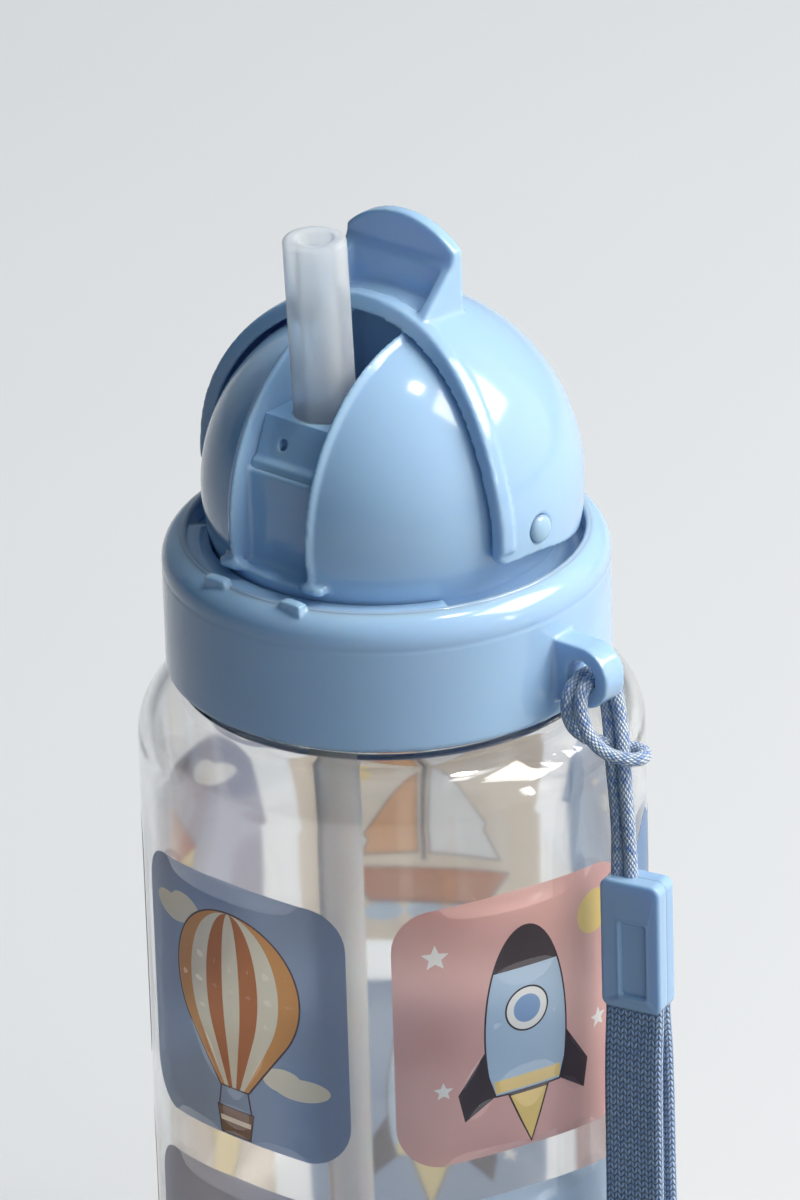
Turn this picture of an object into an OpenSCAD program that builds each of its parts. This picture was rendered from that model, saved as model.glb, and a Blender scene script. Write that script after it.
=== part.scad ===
/* [Bottle body] */
// Outer diameter of the body
body_d = 73; // [70:0.5:76]
// Height of the straight side, up to where the shoulder starts
side_h = 115; // [95:1:135]
// Wall thickness of the body
body_wall = 2; // [1.6:0.1:2.4]
// Radius of the round shoulder under the collar
shoulder_r = 9; // [8.6:0.1:9.4]
// Radius of the round edge at the foot
foot_r = 6; // [4:0.5:8]

/* [Screw collar] */
// Outer diameter of the collar
collar_d = 64; // [63.4:0.2:65]
// Radius of the collar's round top edge
collar_edge_r = 4; // [3:0.2:4.4]
// Thickness of the strap lug
lug_t = 4.2; // [3.4:0.2:5]
// Diameter of the hole through the strap lug
lug_hole_d = 5; // [4.8:0.1:5.4]

/* [Dome and shutter] */
// Outer radius of the inner dome
dome_r = 26; // [25.6:0.1:26.1]
// Width of the open channel that the spout stands in
channel_w = 13; // [12.4:0.2:13.6]
// Outer radius of the sliding shutter
shutter_r = 28.5; // [28.3:0.1:28.8]
// Inner radius of the sliding shutter
shutter_inner_r = 26.8; // [26.8:0.1:27]
// Outer width of the thumb hood on the shutter
hood_w = 19.6; // [18:0.2:21]
// Height of the thumb hood's top above the pivot
hood_h = 39.3; // [37:0.1:40]

/* [Drinking spout] */
// Outer diameter of the soft spout
spout_d = 9; // [8.8:0.1:9]
// Bore of the soft spout
spout_bore_d = 5; // [4.9:0.1:5.1]
// Height of the spout's tip above the pivot
spout_top = 41.8; // [38:0.2:44]
// Outer diameter of the lower straw
straw_d = 6.5; // [6:0.1:7]

/* [Strap] */
// Diameter of the strap cord
cord_d = 1.9; // [1.7:0.1:2]
// Width of the strap clip
clip_w = 9.4; // [9.2:0.1:10]
// Thickness of the strap clip
clip_t = 5; // [4.8:0.1:5.4]
// Height of the strap clip
clip_h = 20.4; // [19:0.2:21]
// Width of the webbing
webbing_w = 8.4; // [7.6:0.1:8.4]
// Thickness of the webbing
webbing_t = 1.6; // [1.3:0.1:1.6]

/* [Hidden] */
$fn = 96;

body_r = body_d / 2;
collar_r = collar_d / 2;

// neck of the bottle, above the shoulder
neck_r = body_r - shoulder_r + 0.1;
neck_foot_z = side_h + shoulder_r;
neck_wall = 2.2;
neck_h = 15.6;
neck_ring_r = 31.3;
neck_bore_r = neck_r - neck_wall;
neck_top_z = neck_foot_z + neck_h;
// sunk ring under the foot
foot_sink = 0.8;
foot_sink_r = [20, 28];

// single-start thread, drawn as short arcs that climb in equal steps
thread_lead = 6;
thread_steps = 12;
thread_arc = 22;
thread_rise = thread_lead / thread_steps;
thread_z = neck_foot_z + 4;
thread_depth = 1.6;
thread_crest_r = neck_r + thread_depth;
collar_bore_r = 30;
collar_thread_r = collar_bore_r - thread_depth;

// collar and the dome's base plate inside it
collar_z = neck_foot_z + 2;
gasket_t = 1.6;
plate_z = neck_top_z + gasket_t;
plate_t = 1.9;
plate_r = 29.8;
groove_floor_z = plate_z + plate_t;
collar_top_z = collar_z + 20.6;
collar_lip_r = 28.4;
// two small nubs on the rim
nub_x = 6.8;
nub_half = 1.9;

// the shutter turns about a line along X at this height
pivot_z = collar_z + 27.8;
boss_r = 2;
boss_bore_r = 2.05;
boss_l = 3.6;
dome_wall = 1.8;
dome_skirt_r = 24.6;
channel_half = channel_w / 2;
channel_wall = 1.6;
channel_back_y = 4;
channel_floor = 8;
recess_y = -21.7;
ledge = -6;
stop_x = 7.3;
stop_half = 2.1;
// air holes: one in the channel's floor and the seat, and the valve's in the base plate
air_hole_d = 1.5;
air_hole = [-2.2, -18.5];
valve_y = 14;
valve_hole_d = 3.2;
valve_flap_r = 5;
valve_flap_t = 1;
valve_barb_r = 2.4;

// shutter outline, seen along X, about the pivot
ear_y = -7.8;
ear_z = -3.5;
edge_arc_r = 56.4;
edge_arc_z = 4;
hood_wall = 1.7;
hood_round = 13.8;
catch_x = 4.4;
catch_half = 1.3;

// spout, straw and their seat, about the pivot
spout_y = -12.2;
spout_r = spout_d / 2;
seat_top = 15;
seat_top_y = -17.6;
seat_back_y = -6.4;
seat_hole_z = 11.6;
kink = 18;
sleeve_r = 7.7;
sleeve_bore_r = 6.5;
flange_low = 4.6;
connector_bore_r = 1.5;
connector_low = -6;
connector_h = 16;
straw_wall = 0.55;
straw_foot_z = 8;

// strap lug and the strap's parts
lug_x = 36.7;
lug_z = collar_z + 7.8;
lug_r = 4.7;
clip_x = 44.4;
clip_z = collar_z - 42.4;
clip_turn = 12;
clip_wall = 0.5;
clip_face = 0.6;
clip_corner = 1.4;
knot_z = 96.8;
knot_r = 2.1;
leg_holes = [-0.8, -2.9];
// sunk window in the clip's wide face, as low and high corners
window = [[-1.6, 2.4], [2.4, 14]];
cord_sides = 8;

// cord: from the knot in the clip, up behind the lug, through its hole, round both legs and back
cord_route = [
  [43.6, -0.2, 99], [43.6, -0.2, 101], [43.6, -0.1, 104], [43, 0.3, 110], [42.2, 0.8, 116],
  [41.2, 1.7, 120.6], [39.9, 3, 124.4], [38.8, 3.7, 128], [38, 3.7, 131.2], [37.8, 2.4, 132.8],
  [37.7, 0, 133.2], [37.7, -2.4, 132.8], [37.9, -3.6, 130.8], [38.6, -3.9, 128], [39.7, -3.4, 125.4],
  [41.4, -2.2, 123.4], [43.4, -0.5, 122.4], [44.4, 1.6, 122], [43.4, 3.6, 121.8],
  [41.1, 4, 121.7], [39, 3, 121.9], [37.6, 1, 122.8], [36.7, -1.4, 124.4], [36, -3.2, 126.6],
  [35.7, -3.9, 129.2], [35.7, -3.5, 131.4], [35.7, -2.2, 132.8], [35.7, 0, 133.2],
  [35.7, 2.4, 132.8], [35.9, 3.7, 131], [36.6, 3.8, 127.6], [37.7, 3, 124.2], [39, 1.7, 120.4],
  [40.2, 0.8, 116], [41, 0.3, 110], [41.5, -0.5, 104], [41.6, -0.6, 101], [41.6, -0.6, 99]];

// webbing: half of the loop, as distance from the clip's middle plane and height
webbing_route = [
  [0.95, 93.5], [0.95, 90], [0.95, 86], [1.1, 82], [1.6, 77], [1.9, 71], [2, 63], [2.1, 54],
  [2.5, 44], [3.4, 34], [4.6, 25], [5.3, 18], [5.1, 12], [3.7, 7.2], [1.6, 4.6], [0, 4.1]];

// points of a smooth line through a hand-made route
function bend(a, b, c, d, t) =
  0.5 * (2 * b + (c - a) * t + (2 * a - 5 * b + 4 * c - d) * t * t
         + (3 * b - a - 3 * c + d) * t * t * t);
function at(route, i) = route[min(max(i, 0), len(route) - 1)];
function smooth(route, cuts) =
  [for (i = [0 : len(route) - 2], k = [0 : cuts - 1])
     bend(at(route, i - 1), at(route, i), at(route, i + 1), at(route, i + 2), k / cuts),
   route[len(route) - 1]];
function unit(v) = v / norm(v);
function heading(line, i) = unit(at(line, i + 1) - at(line, i - 1));
// a frame that turns with the line and never twists
function frames(line, i = 0, side = [0, 1, 0]) =
  i >= len(line) ? [] :
  let (h = heading(line, i), s = unit(side - (side * h) * h))
  concat([[s, cross(h, s)]], frames(line, i + 1, s));

module tube(line, r, sides) {
  f = frames(line);
  n = len(line);
  points = [for (i = [0 : n - 1], k = [0 : sides - 1])
    line[i] + r * (cos(360 * k / sides) * f[i][0] + sin(360 * k / sides) * f[i][1])];
  walls = [for (i = [0 : n - 2], k = [0 : sides - 1])
    [i * sides + k, (i + 1) * sides + k,
     (i + 1) * sides + (k + 1) % sides, i * sides + (k + 1) % sides]];
  first = [for (k = [0 : sides - 1]) k];
  last = [for (k = [sides - 1 : -1 : 0]) (n - 1) * sides + k];
  polyhedron(points, concat(walls, [first, last]));
}

module ring(inner, outer, z0, z1) {
  translate([0, 0, z0]) difference() {
    cylinder(r = outer, h = z1 - z0);
    translate([0, 0, -1]) cylinder(r = inner, h = z1 - z0 + 2);
  }
}

module block(x0, x1, y0, y1, z0, z1) {
  translate([x0, y0, z0]) cube([x1 - x0, y1 - y0, z1 - z0]);
}

// an outline drawn in (y, z) and pulled along X over the width given
module along_x(width) {
  translate([-width / 2, 0, 0])
    rotate([90, 0, 90]) linear_extrude(width) children();
}

module thread_step(turn, r0, r1, z, h) {
  rotate([0, 0, turn - thread_arc / 2])
    rotate_extrude(angle = thread_arc)
      polygon([[r0, z], [r1, z + 0.4], [r1, z + h - 0.4], [r0, z + h]]);
}

// quarter round between two radii, as a flat outline for a turned shape
module quarter(r_in, z, r) {
  intersection() {
    translate([r_in, z]) circle(r = r);
    translate([r_in, z]) square([r + 1, r + 1]);
  }
}

// the body's outline from its axis out, grown or shrunk by its wall
module body_outline(inset) {
  r = body_r - inset;
  floor_z = inset == 0 ? 0 : inset + 0.6;
  translate([0, floor_z + foot_r]) square([r, side_h - floor_z - foot_r]);
  translate([0, floor_z]) square([r - foot_r, foot_r + 1]);
  intersection() {
    translate([r - foot_r, floor_z + foot_r]) circle(r = foot_r);
    translate([0, floor_z]) square([r, foot_r]);
  }
  translate([0, side_h - 1])
    square([body_r - shoulder_r, shoulder_r - inset + 1]);
  quarter(body_r - shoulder_r, side_h, shoulder_r - inset);
}

module bottle_body() {
  color([0.86, 0.88, 0.88, 0.35]) {
    difference() {
      rotate_extrude() {
        body_outline(0);
        translate([0, neck_foot_z - 1]) square([neck_r, neck_top_z - neck_foot_z + 1]);
        translate([0, neck_foot_z - 0.4]) square([neck_ring_r, 1.2]);
      }
      rotate_extrude() {
        body_outline(body_wall);
        translate([0, side_h]) square([neck_bore_r, neck_top_z]);
      }
      ring(foot_sink_r[0], foot_sink_r[1], -1, foot_sink);
    }
    for (i = [0 : 16])
      thread_step(i * 360 / thread_steps, neck_r - 0.3, thread_crest_r,
                  thread_z + i * thread_rise, 1.8);
  }
}

module lid_gasket() {
  color("whitesmoke")
    ring(neck_bore_r - 0.8, collar_lip_r, neck_top_z, neck_top_z + gasket_t);
}

module lug() {
  translate([0, lug_t / 2, lug_z]) rotate([90, 0, 0]) {
    translate([lug_x, 0, 0]) cylinder(r = lug_r, h = lug_t);
    translate([collar_bore_r + 0.6, -lug_r, 0])
      cube([lug_x - collar_bore_r - 0.6, 2 * lug_r, lug_t]);
  }
}

module collar_outline() {
  round_z = collar_top_z - collar_edge_r;
  difference() {
    union() {
      translate([0, collar_z + 0.5]) square([collar_r, round_z - collar_z - 0.5]);
      translate([0, collar_z]) square([collar_r - 0.5, 1]);
      translate([0, round_z - 1]) square([collar_r - collar_edge_r, collar_edge_r + 1]);
      quarter(collar_r - collar_edge_r, round_z, collar_edge_r);
    }
    translate([0, collar_z - 1]) square([collar_bore_r, groove_floor_z - collar_z + 1]);
    translate([0, collar_z]) square([collar_lip_r, 30]);
  }
}

module screw_collar() {
  color([0.66, 0.79, 0.9]) {
    difference() {
      union() {
        rotate_extrude() collar_outline();
        lug();
      }
      translate([lug_x, lug_t, lug_z]) rotate([90, 0, 0])
        cylinder(d = lug_hole_d, h = 2 * lug_t);
    }
    // snap bead that holds the dome's base plate
    rotate_extrude()
      polygon([[collar_bore_r + 0.2, plate_z - 1.2], [plate_r - 0.6, plate_z - 0.5],
               [collar_bore_r + 0.2, plate_z - 0.1]]);
    for (i = [0 : 11])
      thread_step((i + 3) * 360 / thread_steps, collar_bore_r + 0.3, collar_thread_r,
                  thread_z + (i + 3) * thread_rise - thread_lead / 2, 1.6);
    for (s = [-1, 1])
      block(s * nub_x - nub_half, s * nub_x + nub_half, -collar_lip_r - 1, -collar_lip_r + 0.7,
            collar_top_z - 1.4, collar_top_z + 0.7);
  }
}

// what stays open through the dome for the spout and its channel
module channel_space() {
  block(-channel_half, channel_half, -40, recess_y, ledge, 40);
  block(-channel_half, channel_half, -40, channel_back_y, channel_floor, 40);
}

module channel_walls() {
  outer = channel_half + channel_wall;
  back = channel_back_y + channel_wall;
  block(-outer, outer, recess_y, back, channel_floor - channel_wall, 26);
  block(-outer, outer, -26, recess_y + 2, ledge - channel_wall, channel_floor);
}

// half outline of the dome over its straight skirt
module dome_outline(inset) {
  low = groove_floor_z - pivot_z - inset;
  intersection() {
    union() {
      circle(r = dome_r - inset);
      translate([0, low]) square([dome_skirt_r - inset, -low]);
    }
    translate([0, low]) square([40, 60]);
  }
}

module dome() {
  plate_low = plate_z - pivot_z;
  color([0.62, 0.77, 0.9]) translate([0, 0, pivot_z]) {
    difference() {
      union() {
        rotate_extrude() {
          difference() {
            dome_outline(0);
            dome_outline(dome_wall);
          }
          translate([0, plate_low]) square([plate_r, plate_t]);
        }
        intersection() {
          rotate([0, 90, 0]) sphere(r = dome_r - 0.5);
          channel_walls();
        }
        translate([0, spout_y, plate_low])
          cylinder(r = sleeve_r, h = channel_floor - 1 - plate_low);
        // pivot bosses
        for (s = [-1, 1])
          rotate([0, s * 90, 0]) translate([0, 0, dome_r - 1]) cylinder(r = boss_r, h = boss_l);
      }
      channel_space();
      // bore for the spout and straw, and the two air holes
      translate([0, spout_y, plate_low - 1])
        cylinder(r = sleeve_bore_r, h = channel_floor - channel_wall - plate_low + 1);
      translate([0, spout_y, 0]) cylinder(r = spout_r + 0.1, h = 20);
      translate([air_hole[0], air_hole[1], channel_floor - 3]) cylinder(d = air_hole_d, h = 4);
      translate([0, valve_y, plate_low - 1]) cylinder(d = valve_hole_d, h = 4);
    }
    // stops that the closed shutter rests on
    for (s = [-1, 1])
      block(s * stop_x - stop_half, s * stop_x + stop_half, -25.3, -23.6, ledge - 0.4, ledge + 0.8);
  }
}

// umbrella valve that lets air in as water is drawn out
module vent_valve() {
  color("white") translate([0, valve_y, plate_z]) {
    translate([0, 0, -valve_flap_t]) cylinder(r = valve_flap_r, h = valve_flap_t);
    cylinder(d = valve_hole_d - 0.2, h = plate_t);
    translate([0, 0, plate_t]) cylinder(r1 = valve_barb_r, r2 = valve_barb_r / 2, h = 1.6);
  }
}

// block at the foot of the spout, its face sloped with the dome
module spout_seat() {
  color([0.56, 0.72, 0.88]) translate([0, 0, pivot_z]) difference() {
    along_x(channel_w - 0.1)
      polygon([[seat_top_y, seat_top], [-20, 9.6], [-20.9, 9.1], [-21.2, channel_floor],
               [seat_back_y, channel_floor], [seat_back_y, seat_top]]);
    translate([0, spout_y, channel_floor - 1]) cylinder(r = spout_r + 0.1, h = 10);
    translate([air_hole[0], air_hole[1], channel_floor - 1]) cylinder(d = air_hole_d, h = 4);
    translate([air_hole[0], seat_top_y, seat_hole_z])
      rotate([90, 0, 0]) cylinder(d = air_hole_d, h = 6);
  }
}

module spout_base() {
  color([0.93, 0.94, 0.96]) translate([0, spout_y, pivot_z]) difference() {
    union() {
      translate([0, 0, flange_low]) cylinder(r = spout_r, h = kink - flange_low);
      translate([0, 0, flange_low])
        cylinder(r = sleeve_bore_r - 0.05, h = channel_floor - channel_wall - flange_low);
    }
    cylinder(d = spout_bore_d, h = 30);
  }
}

module spout_tip() {
  color([0.93, 0.94, 0.96]) translate([0, spout_y, pivot_z + kink]) difference() {
    cylinder(r = spout_r, h = spout_top - kink);
    translate([0, 0, -1]) cylinder(d = spout_bore_d, h = 40);
  }
}

module straw_connector() {
  color([0.9, 0.92, 0.94]) translate([0, spout_y, pivot_z]) difference() {
    union() {
      translate([0, 0, connector_low]) cylinder(r = spout_bore_d / 2 - 0.05, h = connector_h);
      translate([0, 0, flange_low - 2]) cylinder(r = sleeve_bore_r - 0.05, h = 2);
      translate([0, 0, -4]) cylinder(r1 = 2.45, r2 = 2.6, h = 1.2);
    }
    translate([0, 0, connector_low - 1]) cylinder(r = connector_bore_r, h = 20);
  }
}

module lower_straw() {
  top = pivot_z + 1.6;
  color([0.93, 0.94, 0.95]) translate([0, spout_y, 0]) difference() {
    translate([0, 0, straw_foot_z]) cylinder(d = straw_d, h = top - straw_foot_z);
    translate([0, 0, straw_foot_z - 1]) cylinder(d = straw_d - 2 * straw_wall, h = top);
    // slanted end, so that it never seals on the floor
    translate([0, 0, straw_foot_z - 4.6]) rotate([0, 30, 0]) cube([20, 20, 5], center = true);
  }
}

// everything behind the front edge and above the lower edge, seen along X
module shutter_space() {
  front = [for (a = [0 : 4 : 44])
    [ear_y + edge_arc_r * (1 - cos(a)), edge_arc_z + edge_arc_r * sin(a)]];
  along_x(80)
    polygon(concat([[36, 50], [36, -11.5], [0, ear_z], [ear_y + 1, ear_z], [ear_y, ear_z + 1]],
                   front));
}

// outline of the thumb hood seen from the front, grown or shrunk by its wall
module hood_front(inset) {
  rotate([90, 0, 0]) linear_extrude(60, center = true) intersection() {
    translate([-hood_w / 2 + inset, 0]) square([hood_w - 2 * inset, 60]);
    translate([0, hood_h - hood_round]) circle(r = hood_round - inset, $fn = 160);
  }
}

module hood() {
  difference() {
    intersection() {
      hood_front(0);
      along_x(40)
        polygon([[-3.4, 24], [-3.4, 26], [4.4, 33.2], [4.9, 34.4], [4.9, 45], [7, 45], [7, 24]]);
    }
    intersection() {
      hood_front(hood_wall);
      along_x(40) polygon([[-20, 20], [3.6, 20], [3.6, 28], [4.6, 36.4], [4.6, 45], [-20, 45]]);
    }
    rotate([0, 90, 0]) sphere(r = shutter_r - 0.4);
  }
}

module shutter() {
  color([0.68, 0.82, 0.93]) translate([0, 0, pivot_z]) {
    difference() {
      intersection() {
        rotate([0, 90, 0]) rotate_extrude() difference() {
          intersection() {
            circle(r = shutter_r);
            translate([0, -40]) square([40, 80]);
          }
          circle(r = shutter_inner_r);
        }
        shutter_space();
      }
      rotate([0, 90, 0]) cylinder(r = boss_bore_r, h = 80, center = true);
    }
    hood();
    // small catches under the front edge, in the channel's width
    for (s = [-1, 1])
      block(s * catch_x - catch_half, s * catch_x + catch_half, -2.1, -0.4,
            shutter_inner_r - 1.3, shutter_inner_r);
  }
}

module strap_cord() {
  color([0.45, 0.6, 0.85]) tube(smooth(cord_route, 2), cord_d / 2, cord_sides);
}

// the clip's own middle, with its wide face towards the front and turned a little to the side
module at_clip() {
  translate([clip_x, 0, clip_z]) rotate([0, 0, clip_turn]) children();
}

// the cord's two ends, joined in one bead inside the clip
module cord_knot() {
  color([0.45, 0.6, 0.85]) at_clip() translate([-1.8, 0, knot_z - clip_z])
    rotate([90, 0, 0]) cylinder(r = knot_r, h = 3.4, center = true);
}

module clip_outline() {
  w = clip_w / 2 - clip_corner;
  for (x = [-w, w], z = [clip_corner, clip_h - clip_corner])
    translate([x, z]) circle(r = clip_corner);
  translate([-clip_w / 2, clip_corner]) square([clip_w, clip_h - 2 * clip_corner]);
  translate([-w, 0]) square([2 * w, clip_h]);
}

// one of the clip's two halves, with room inside for the webbing's ends and the bead
module clip_half(y) {
  reach = clip_t / 2 - clip_face;
  color([0.62, 0.77, 0.9]) at_clip() difference() {
    translate([0, y + clip_t / 2, 0]) rotate([90, 0, 0]) linear_extrude(clip_t / 2) clip_outline();
    block(-clip_w / 2 + clip_wall, clip_w / 2 - clip_wall, -reach, reach, -1, clip_h - 2.4);
    for (x = leg_holes)
      translate([x, 0, clip_h - 3]) cylinder(r = cord_d / 2 + 0.2, h = 4);
    block(window[0][0], window[1][0], -clip_t / 2 - 1, -clip_t / 2 + 0.3,
          window[0][1], window[1][1]);
  }
}

module clip_front() {
  clip_half(-clip_t / 2);
}

module clip_back() {
  clip_half(0);
}

module webbing_loop() {
  half = smooth(webbing_route, 2);
  n = len(half);
  offset_by = function (d)
    [for (i = [0 : n - 1]) let (h = heading(half, i)) half[i] + d * [-h[1], h[0]]];
  outer = offset_by(webbing_t / 2);
  inner = offset_by(-webbing_t / 2);
  backwards = function (line, side)
    [for (i = [n - 2 : -1 : 0]) [side * line[i][0], line[i][1]]];
  color([0.4, 0.56, 0.82]) translate([clip_x, 0, 0]) rotate([0, 0, clip_turn])
    along_x(webbing_w)
      polygon(concat(outer, backwards(outer, -1),
                     [for (p = inner) [-p[0], p[1]]], backwards(inner, 1)));
}

bottle_body();
lid_gasket();
screw_collar();
dome();
vent_valve();
spout_seat();
spout_base();
spout_tip();
straw_connector();
lower_straw();
shutter();
strap_cord();
cord_knot();
clip_front();
clip_back();
webbing_loop();
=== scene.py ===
from math import cos, pi, radians, sin, sqrt

import bmesh
import bpy
import numpy as np
from mathutils import Matrix, Vector
from mathutils.geometry import delaunay_2d_cdt


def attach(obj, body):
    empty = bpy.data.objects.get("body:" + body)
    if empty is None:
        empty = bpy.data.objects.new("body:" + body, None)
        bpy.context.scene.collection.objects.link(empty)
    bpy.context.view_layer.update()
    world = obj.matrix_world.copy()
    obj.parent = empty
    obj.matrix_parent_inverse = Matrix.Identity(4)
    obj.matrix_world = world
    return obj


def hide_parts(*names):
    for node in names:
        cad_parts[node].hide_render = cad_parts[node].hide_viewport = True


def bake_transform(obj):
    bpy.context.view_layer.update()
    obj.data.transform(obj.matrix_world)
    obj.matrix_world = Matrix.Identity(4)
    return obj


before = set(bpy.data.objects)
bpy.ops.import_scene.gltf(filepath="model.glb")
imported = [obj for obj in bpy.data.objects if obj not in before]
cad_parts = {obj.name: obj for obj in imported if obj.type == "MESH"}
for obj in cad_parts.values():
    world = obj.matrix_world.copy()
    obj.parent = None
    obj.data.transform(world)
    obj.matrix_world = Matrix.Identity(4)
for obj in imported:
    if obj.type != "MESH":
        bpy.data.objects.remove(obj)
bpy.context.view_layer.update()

scene = bpy.context.scene
mm = 0.001

# Camera: a long lens a little over a metre away, looking down on the lid from the front
# right, as a table-top picture of a bottle is taken. It is held level but for a slight roll.
aim = Vector((0, 0, 126 * mm))
camera_distance = 1242.74 * mm
camera_azimuth = radians(40.35)
camera_elevation = radians(25.87)
pan, tilt, roll = radians(0.08), radians(0.36), radians(-1.77)

camera_data = bpy.data.cameras.new("camera")
camera_data.sensor_fit = "VERTICAL"
camera_data.sensor_height = 36
camera_data.lens = 260.6
camera = bpy.data.objects.new("camera", camera_data)
scene.collection.objects.link(camera)
scene.camera = camera
outward = Vector((sin(camera_azimuth) * cos(camera_elevation),
                  -cos(camera_azimuth) * cos(camera_elevation), sin(camera_elevation)))
ahead = -outward
right = ahead.cross(Vector((0, 0, 1))).normalized()
up = right.cross(ahead)
ahead, right = ahead * cos(pan) + right * sin(pan), right * cos(pan) - ahead * sin(pan)
ahead, up = ahead * cos(tilt) + up * sin(tilt), up * cos(tilt) - ahead * sin(tilt)
right, up = right * cos(roll) + up * sin(roll), up * cos(roll) - right * sin(roll)
camera.matrix_world = Matrix.Translation(aim + outward * camera_distance) @ Matrix(
    (right, up, -ahead)).transposed().to_4x4()


# The studio: a seamless pale floor that curls up far behind, and three soft lamps, the
# strongest on the right. The floor's plaster is very faintly mottled.
def new_material(name, **settings):
    """A material with plain numbers on its shader's own sockets."""
    material = bpy.data.materials.new(name)
    material.use_nodes = True
    shader = material.node_tree.nodes["Principled BSDF"]
    for socket, value in settings.items():
        shader.inputs[socket.replace("_", " ")].default_value = value
    return material, material.node_tree, shader


def add_node(tree, kind, **inputs):
    """A shader node, with its inputs set to values or joined to other nodes' sockets."""
    node = tree.nodes.new("ShaderNode" + kind)
    for key, value in inputs.items():
        socket = node.inputs[int(key[1:]) if key[0] == "_" else key.replace("_", " ")]
        if isinstance(value, bpy.types.NodeSocket):
            tree.links.new(value, socket)
        else:
            socket.default_value = value
    return node


def sum_up(tree, operation, a, b=0.0, c=0.0):
    """One Math node's result."""
    node = add_node(tree, "Math", _0=a, _1=b, _2=c)
    node.operation = operation
    return node.outputs[0]


def blend_colours(tree, share, a, b):
    """Colour a where share is 0, and b where it is 1."""
    node = tree.nodes.new("ShaderNodeMix")
    node.data_type = "RGBA"
    for socket, value in ((0, share), (6, a), (7, b)):
        if isinstance(value, bpy.types.NodeSocket):
            tree.links.new(value, node.inputs[socket])
        else:
            node.inputs[socket].default_value = value
    return node.outputs[2]


def mottle(tree, shader, share, a, b):
    """A base colour that goes from a to b with a texture."""
    tree.links.new(blend_colours(tree, share, a, b), shader.inputs["Base Color"])


def grain(tree, scale, detail=3.0):
    """Noise over the piece's own coordinates, in grains per metre."""
    where = tree.nodes.new("ShaderNodeTexCoord")
    noise = add_node(tree, "TexNoise", Vector=where.outputs["Object"], Scale=scale,
                     Detail=detail, Roughness=0.5)
    return noise.outputs["Fac"]


def raise_surface(tree, shader, height, strength, distance):
    """Bump from a height, where distance is the depth in metres."""
    bump = add_node(tree, "Bump", Height=height, Strength=strength, Distance=distance)
    tree.links.new(bump.outputs["Normal"], shader.inputs["Normal"])


def vary(tree, shader, socket, source, low, high):
    """A shader socket that wanders between two values as a texture goes from 0 to 1."""
    spread = add_node(tree, "MapRange", Value=source, _3=low, _4=high)
    tree.links.new(spread.outputs[0], shader.inputs[socket])


def put_in_scene(name, mesh, body, slot=None, *nodes):
    """The finished mesh as a piece that rides on a body and stands for CAD nodes."""
    piece = bpy.data.objects.new(name, mesh)
    scene.collection.objects.link(piece)
    if body:
        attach(piece, body)
    if nodes:
        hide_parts(*nodes)
    return piece


floor_reach, floor_half_width, curl_r, wall_top = 3.0, 6.0, 1.5, 4.0
floor_mesh = bpy.data.meshes.new("floor")
curl = [(-floor_reach, 0.0), (floor_reach, 0.0)]
curl += [(floor_reach + curl_r * sin(a), curl_r - curl_r * cos(a)) for a in np.linspace(0.1, pi / 2, 12)]
curl += [(floor_reach + curl_r, wall_top)]
floor_mesh.from_pydata(
    [(x, y, z) for y, z in curl for x in (-floor_half_width, floor_half_width)], [],
    [(2 * i, 2 * i + 1, 2 * i + 3, 2 * i + 2) for i in range(len(curl) - 1)])
floor_mesh.shade_smooth()
floor_paint, tree, shader = new_material("floor_paint", Roughness=0.85, Specular_IOR_Level=0.2)
mottle(tree, shader, grain(tree, 6, 4), (0.66, 0.675, 0.695, 1), (0.68, 0.695, 0.715, 1))
floor_mesh.materials.append(floor_paint)
floor = put_in_scene("floor", floor_mesh, None)
floor.rotation_euler.z = camera_azimuth
floor.visible_diffuse = False


def soft_lamp(name, azimuth, elevation, distance, width, height, watts, colour=(1, 1, 1)):
    """A rectangular soft box that looks at the lid."""
    data = bpy.data.lights.new(name, "AREA")
    data.shape = "RECTANGLE"
    data.size, data.size_y, data.energy, data.color = width, height, watts, colour
    lamp = bpy.data.objects.new(name, data)
    a, e = radians(azimuth), radians(elevation)
    lamp.location = Vector((sin(a) * cos(e), -cos(a) * cos(e), sin(e))) * distance + aim
    lamp.rotation_euler = (lamp.location - aim).to_track_quat("Z", "Y").to_euler()
    scene.collection.objects.link(lamp)


soft_lamp("main", 128, 44, 1.8, 1.0, 1.0, 33, (1.0, 0.95, 0.88))
soft_lamp("overhead", 116, 71, 1.6, 0.17, 0.17, 5)
soft_lamp("strip", 103, 15, 1.8, 0.10, 0.45, 1.8)

# Light from all round: bright behind and on the right, dim in front and on the left.
world = bpy.data.worlds.new("studio")
scene.world = world
world.use_nodes = True
sky = world.node_tree
where = sky.nodes.new("ShaderNodeTexCoord")
towards = add_node(sky, "VectorMath", _0=where.outputs["Generated"], _1=(0.86, 0.50, 0.12))
towards.operation = "DOT_PRODUCT"
level = add_node(sky, "MapRange", Value=towards.outputs["Value"],
                 _1=-0.32, _2=0.9, _3=0.085, _4=1.12)
shade = blend_colours(sky, level.outputs[0], (0.34, 0.68, 1.0, 1), (1.0, 0.975, 0.94, 1))
sky.links.new(level.outputs[0], sky.nodes["Background"].inputs["Strength"])
sky.links.new(shade, sky.nodes["Background"].inputs["Color"])
scene.view_settings.view_transform = "Standard"


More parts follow.
